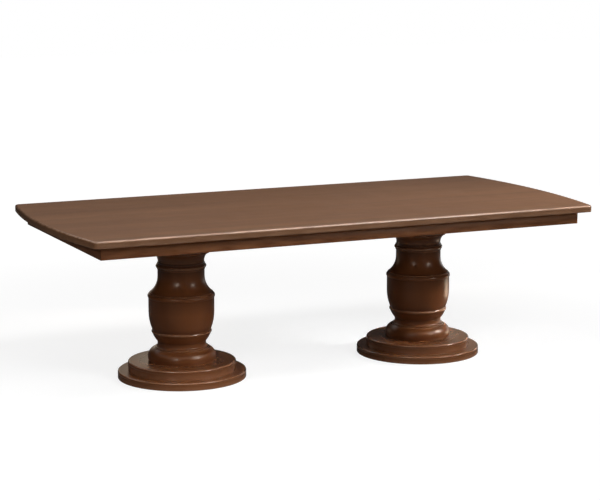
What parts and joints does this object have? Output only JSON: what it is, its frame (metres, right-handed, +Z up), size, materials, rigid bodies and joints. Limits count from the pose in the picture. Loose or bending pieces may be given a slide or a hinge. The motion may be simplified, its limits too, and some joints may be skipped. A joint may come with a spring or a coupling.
{
  "type": "double pedestal dining table",
  "caption": "Long dining table with bowed ends, a plain apron and a pair of turned urn pedestals on stepped round bases, standing on levelling glides.",
  "frame": {"origin": "on the floor under the middle of the table, level with the undersides of the glide pads", "axes": "+X along the table towards the right pedestal, +Y across it towards the back, +Z up"},
  "size_m": [2.5536, 1.17, 0.762],
  "materials": {
    "top_wood": "satin lacquer over a mid brown stain, fine lengthwise grain",
    "apron_wood": "satin lacquer over a dark brown stain",
    "turned_wood": "satin lacquer over a dark red-brown stain, grain running up the turning",
    "frame_wood": "bare planed hardwood, unfinished",
    "fastener_steel": "zinc plated",
    "insert_brass": "plain machined",
    "glide_plastic": "moulded, matte"
  },
  "bodies": {
    "table": {"apron_clips": "fastener_steel", "back_apron": "apron_wood", "bearer_screws": "fastener_steel", "centre_rail": "frame_wood", "clip_screws": "fastener_steel", "corner_block_screws": "fastener_steel", "corner_blocks": "frame_wood", "front_apron": "apron_wood", "left_base_disc": "turned_wood", "left_bearer_inserts": "insert_brass", "left_capital": "turned_wood", "left_end_apron": "apron_wood", "left_glide_inserts": "insert_brass", "left_inner_bearer": "frame_wood", "left_mounting_plate": "frame_wood", "left_neck": "turned_wood", "left_outer_bearer": "frame_wood", "left_plate_bolts": "fastener_steel", "left_plate_screws": "fastener_steel", "left_plinth_disc": "turned_wood", "left_tie_nuts": "fastener_steel", "left_tie_rod": "fastener_steel", "left_tie_washers": "fastener_steel", "left_torus_ring": "turned_wood", "left_urn": "turned_wood", "right_base_disc": "turned_wood", "right_bearer_inserts": "insert_brass", "right_capital": "turned_wood", "right_end_apron": "apron_wood", "right_glide_inserts": "insert_brass", "right_inner_bearer": "frame_wood", "right_mounting_plate": "frame_wood", "right_neck": "turned_wood", "right_outer_bearer": "frame_wood", "right_plate_bolts": "fastener_steel", "right_plate_screws": "fastener_steel", "right_plinth_disc": "turned_wood", "right_tie_nuts": "fastener_steel", "right_tie_rod": "fastener_steel", "right_tie_washers": "fastener_steel", "right_torus_ring": "turned_wood", "right_urn": "turned_wood", "table_top": "top_wood"},
    "left_pad_1": {"left_glide_pad_1": "glide_plastic"},
    "left_stem_1": {"left_glide_stem_1": "fastener_steel"},
    "left_pad_2": {"left_glide_pad_2": "glide_plastic"},
    "left_stem_2": {"left_glide_stem_2": "fastener_steel"},
    "left_pad_3": {"left_glide_pad_3": "glide_plastic"},
    "left_stem_3": {"left_glide_stem_3": "fastener_steel"},
    "left_pad_4": {"left_glide_pad_4": "glide_plastic"},
    "left_stem_4": {"left_glide_stem_4": "fastener_steel"},
    "right_pad_1": {"right_glide_pad_1": "glide_plastic"},
    "right_stem_1": {"right_glide_stem_1": "fastener_steel"},
    "right_pad_2": {"right_glide_pad_2": "glide_plastic"},
    "right_stem_2": {"right_glide_stem_2": "fastener_steel"},
    "right_pad_3": {"right_glide_pad_3": "glide_plastic"},
    "right_stem_3": {"right_glide_stem_3": "fastener_steel"},
    "right_pad_4": {"right_glide_pad_4": "glide_plastic"},
    "right_stem_4": {"right_glide_stem_4": "fastener_steel"}
  },
  "joints": [
    {"name": "left_glide_1_lift", "type": "slide", "parent": "table", "child": "left_pad_1", "axis": [0, 0, -1], "range_m": [0, 0.012]},
    {"name": "left_glide_1_turn", "type": "hinge", "parent": "left_pad_1", "child": "left_stem_1", "pos_m": [-0.4559, 0.1591, 0.0164], "axis": [0, 0, -1], "range_deg": [0, 2880]},
    {"name": "left_glide_2_lift", "type": "slide", "parent": "table", "child": "left_pad_2", "axis": [0, 0, -1], "range_m": [0, 0.012]},
    {"name": "left_glide_2_turn", "type": "hinge", "parent": "left_pad_2", "child": "left_stem_2", "pos_m": [-0.7741, 0.1591, 0.0164], "axis": [0, 0, -1], "range_deg": [0, 2880]},
    {"name": "left_glide_3_lift", "type": "slide", "parent": "table", "child": "left_pad_3", "axis": [0, 0, -1], "range_m": [0, 0.012]},
    {"name": "left_glide_3_turn", "type": "hinge", "parent": "left_pad_3", "child": "left_stem_3", "pos_m": [-0.7741, -0.1591, 0.0164], "axis": [0, 0, -1], "range_deg": [0, 2880]},
    {"name": "left_glide_4_lift", "type": "slide", "parent": "table", "child": "left_pad_4", "axis": [0, 0, -1], "range_m": [0, 0.012]},
    {"name": "left_glide_4_turn", "type": "hinge", "parent": "left_pad_4", "child": "left_stem_4", "pos_m": [-0.4559, -0.1591, 0.0164], "axis": [0, 0, -1], "range_deg": [0, 2880]},
    {"name": "right_glide_1_lift", "type": "slide", "parent": "table", "child": "right_pad_1", "axis": [0, 0, -1], "range_m": [0, 0.012]},
    {"name": "right_glide_1_turn", "type": "hinge", "parent": "right_pad_1", "child": "right_stem_1", "pos_m": [0.7741, 0.1591, 0.0164], "axis": [0, 0, -1], "range_deg": [0, 2880]},
    {"name": "right_glide_2_lift", "type": "slide", "parent": "table", "child": "right_pad_2", "axis": [0, 0, -1], "range_m": [0, 0.012]},
    {"name": "right_glide_2_turn", "type": "hinge", "parent": "right_pad_2", "child": "right_stem_2", "pos_m": [0.4559, 0.1591, 0.0164], "axis": [0, 0, -1], "range_deg": [0, 2880]},
    {"name": "right_glide_3_lift", "type": "slide", "parent": "table", "child": "right_pad_3", "axis": [0, 0, -1], "range_m": [0, 0.012]},
    {"name": "right_glide_3_turn", "type": "hinge", "parent": "right_pad_3", "child": "right_stem_3", "pos_m": [0.4559, -0.1591, 0.0164], "axis": [0, 0, -1], "range_deg": [0, 2880]},
    {"name": "right_glide_4_lift", "type": "slide", "parent": "table", "child": "right_pad_4", "axis": [0, 0, -1], "range_m": [0, 0.012]},
    {"name": "right_glide_4_turn", "type": "hinge", "parent": "right_pad_4", "child": "right_stem_4", "pos_m": [0.7741, -0.1591, 0.0164], "axis": [0, 0, -1], "range_deg": [0, 2880]}
  ],
  "couplings": [
    {"joint": "left_glide_1_turn", "follows": "left_glide_1_lift", "rad_per_m": 4188.8},
    {"joint": "left_glide_2_turn", "follows": "left_glide_2_lift", "rad_per_m": 4188.8},
    {"joint": "left_glide_3_turn", "follows": "left_glide_3_lift", "rad_per_m": 4188.8},
    {"joint": "left_glide_4_turn", "follows": "left_glide_4_lift", "rad_per_m": 4188.8},
    {"joint": "right_glide_1_turn", "follows": "right_glide_1_lift", "rad_per_m": 4188.8},
    {"joint": "right_glide_2_turn", "follows": "right_glide_2_lift", "rad_per_m": 4188.8},
    {"joint": "right_glide_3_turn", "follows": "right_glide_3_lift", "rad_per_m": 4188.8},
    {"joint": "right_glide_4_turn", "follows": "right_glide_4_lift", "rad_per_m": 4188.8}
  ]
}
